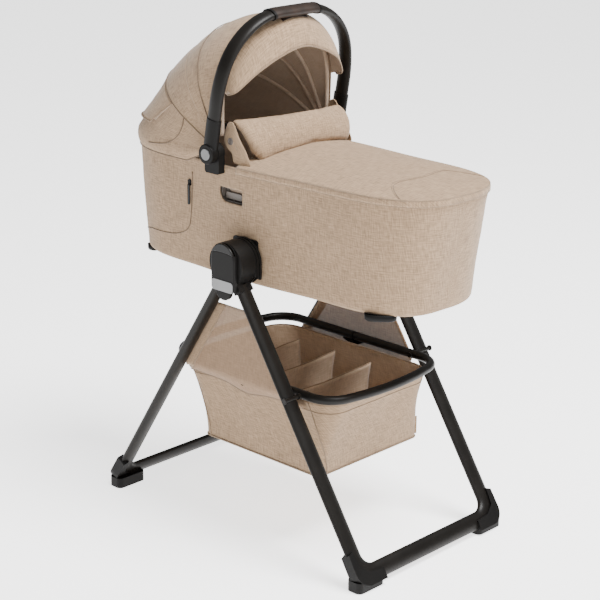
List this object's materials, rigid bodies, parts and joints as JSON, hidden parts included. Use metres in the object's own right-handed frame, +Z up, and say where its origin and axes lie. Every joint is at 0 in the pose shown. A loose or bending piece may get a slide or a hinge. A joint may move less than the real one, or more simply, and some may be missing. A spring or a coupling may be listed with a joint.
{
  "type": "bassinet on stand",
  "caption": "Folding A-frame stand with a hanging storage basket, carrying a lift-off cloth bassinet with a hooped canopy, a foot cover and a turning carry handle.",
  "frame": {"origin": "centre of the bounding box in plan, on the floor under the four shoes", "axes": "+X towards the foot end, +Y across to the left-hand side seen from the foot end's back, +Z up"},
  "size_m": [0.8958, 0.4974, 1.1632],
  "materials": {
    "painted_tube": "satin warm black",
    "black_plastic": "fine moulded grain",
    "gloss_black": "semi gloss",
    "grey_plastic": "moulded",
    "rubber": "matt",
    "bright_metal": "satin bright",
    "steel": "zinc plated",
    "rim_aluminium": "mill",
    "outer_cloth": "heathered linen weave",
    "sheer_cloth": "sheer mesh",
    "lining_cloth": "soft knit",
    "mattress_cloth": "quilted knit",
    "board_cloth": "cloth covered board",
    "grip_leather": "smooth brown leather"
  },
  "bodies": {
    "stand": {"leg_front_left": "painted_tube", "leg_front_right": "painted_tube", "base_tube_front": "painted_tube", "shoes_front": "black_plastic", "floor_pads_front": "rubber", "hub_inner_casing_left": "black_plastic", "hub_inner_casing_right": "black_plastic", "hub_outer_casing_left": "black_plastic", "hub_outer_casing_right": "black_plastic", "mount_arch_left": "black_plastic", "mount_arch_right": "black_plastic", "fold_button_spring_left": "steel", "fold_button_spring_right": "steel", "side_panel_left": "sheer_cloth", "side_panel_right": "sheer_cloth", "badge_plates": "bright_metal", "hub_pins": "steel", "rail_bolts": "bright_metal", "basket_fabric": "outer_cloth", "basket_floor_board": "board_cloth", "basket_dividers": "outer_cloth"},
    "rear_frame": {"leg_rear_left": "painted_tube", "leg_rear_right": "painted_tube", "base_tube_rear": "painted_tube", "shoes_rear": "black_plastic", "floor_pads_rear": "rubber", "rear_hinge_tongue_left": "steel", "rear_hinge_tongue_right": "steel"},
    "rail_front": {"basket_rail_front": "painted_tube", "rail_knuckles_front": "black_plastic"},
    "rail_rear": {"basket_rail_rear": "painted_tube", "rail_knuckles_rear": "black_plastic"},
    "fold_button_l": {"fold_button_left": "gloss_black"},
    "fold_button_r": {"fold_button_right": "gloss_black"},
    "bassinet": {"cot_fabric": "outer_cloth", "cot_tray": "black_plastic", "cot_liner": "lining_cloth", "mattress": "mattress_cloth", "rim_frame": "rim_aluminium", "apron": "outer_cloth", "wind_flap": "outer_cloth", "flap_snaps": "bright_metal", "mount_brackets": "black_plastic", "bassinet_feet": "black_plastic", "window_frames": "grey_plastic", "zip_slider": "black_plastic", "handle_brackets": "black_plastic", "canopy_fabric": "outer_cloth"},
    "paddle_l": {"release_paddle_left": "grey_plastic"},
    "paddle_r": {"release_paddle_right": "grey_plastic"},
    "zip_tab": {"zip_pull": "gloss_black"},
    "handle": {"handle_tube": "painted_tube", "handle_grip": "grip_leather", "grip_collars": "black_plastic", "handle_hubs": "black_plastic"},
    "handle_button_l": {"handle_button_left": "bright_metal"},
    "handle_button_r": {"handle_button_right": "bright_metal"},
    "canopy_middle": {"canopy_bow_middle": "steel"},
    "canopy_front": {"canopy_bow_front": "steel", "canopy_visor": "outer_cloth"}
  },
  "joints": [
    {"name": "stand_fold", "type": "hinge", "parent": "stand", "child": "rear_frame", "pos_m": [-0.0129, 0, 0.636], "axis": [0, 1, 0], "range_deg": [-46, 0], "deforming": ["basket_fabric", "basket_dividers", "side_panel_left", "side_panel_right"]},
    {"name": "rail_front_fold", "type": "hinge", "parent": "stand", "child": "rail_front", "pos_m": [0.1651, 0, 0.373], "axis": [0, 1, 0], "range_deg": [0, 52.6]},
    {"name": "rail_rear_fold", "type": "hinge", "parent": "rail_front", "child": "rail_rear", "pos_m": [-0.0129, 0, 0.3555], "axis": [0, 1, 0], "range_deg": [-151.2, 0]},
    {"name": "fold_button_left_press", "type": "slide", "parent": "stand", "child": "fold_button_l", "axis": [0, -1, 0], "range_m": [0, 0.004], "stiffness_N_per_m": 400, "springref_m": -0.002},
    {"name": "fold_button_right_press", "type": "slide", "parent": "stand", "child": "fold_button_r", "axis": [0, 1, 0], "range_m": [0, 0.004], "stiffness_N_per_m": 400, "springref_m": -0.002},
    {"name": "bassinet_lift_off", "type": "slide", "parent": "stand", "child": "bassinet", "axis": [0, 0, 1], "range_m": [0, 0.15]},
    {"name": "handle_turn", "type": "hinge", "parent": "bassinet", "child": "handle", "pos_m": [-0.0979, 0, 0.86], "axis": [0, 1, 0], "range_deg": [-50, 0]},
    {"name": "handle_button_left_press", "type": "slide", "parent": "handle", "child": "handle_button_l", "axis": [0, -1, 0], "range_m": [0, 0.003], "stiffness_N_per_m": 400, "springref_m": -0.002},
    {"name": "handle_button_right_press", "type": "slide", "parent": "handle", "child": "handle_button_r", "axis": [0, 1, 0], "range_m": [0, 0.003], "stiffness_N_per_m": 400, "springref_m": -0.002},
    {"name": "canopy_fold", "type": "hinge", "parent": "bassinet", "child": "canopy_middle", "pos_m": [-0.0979, 0, 0.86], "axis": [0, 1, 0], "range_deg": [-40, 0], "deforming": ["canopy_fabric"]},
    {"name": "canopy_front_fold", "type": "hinge", "parent": "canopy_middle", "child": "canopy_front", "pos_m": [-0.0979, 0, 0.86], "axis": [0, 1, 0], "range_deg": [-28, 0]},
    {"name": "paddle_left_pull", "type": "slide", "parent": "bassinet", "child": "paddle_l", "axis": [0, 0, 1], "range_m": [0, 0.007], "stiffness_N_per_m": 300, "springref_m": -0.002},
    {"name": "paddle_right_pull", "type": "slide", "parent": "bassinet", "child": "paddle_r", "axis": [0, 0, 1], "range_m": [0, 0.007], "stiffness_N_per_m": 300, "springref_m": -0.002},
    {"name": "zip_tab_swing", "type": "hinge", "parent": "bassinet", "child": "zip_tab", "pos_m": [-0.1939, -0.1753, 0.77], "axis": [0, 1, 0], "range_deg": [-50, 50]}
  ],
  "couplings": [
    {"joint": "rail_front_fold", "follows": "stand_fold", "ratio": -1.1435},
    {"joint": "rail_rear_fold", "follows": "stand_fold", "ratio": 3.286},
    {"joint": "canopy_front_fold", "follows": "canopy_fold", "ratio": 0.7}
  ]
}
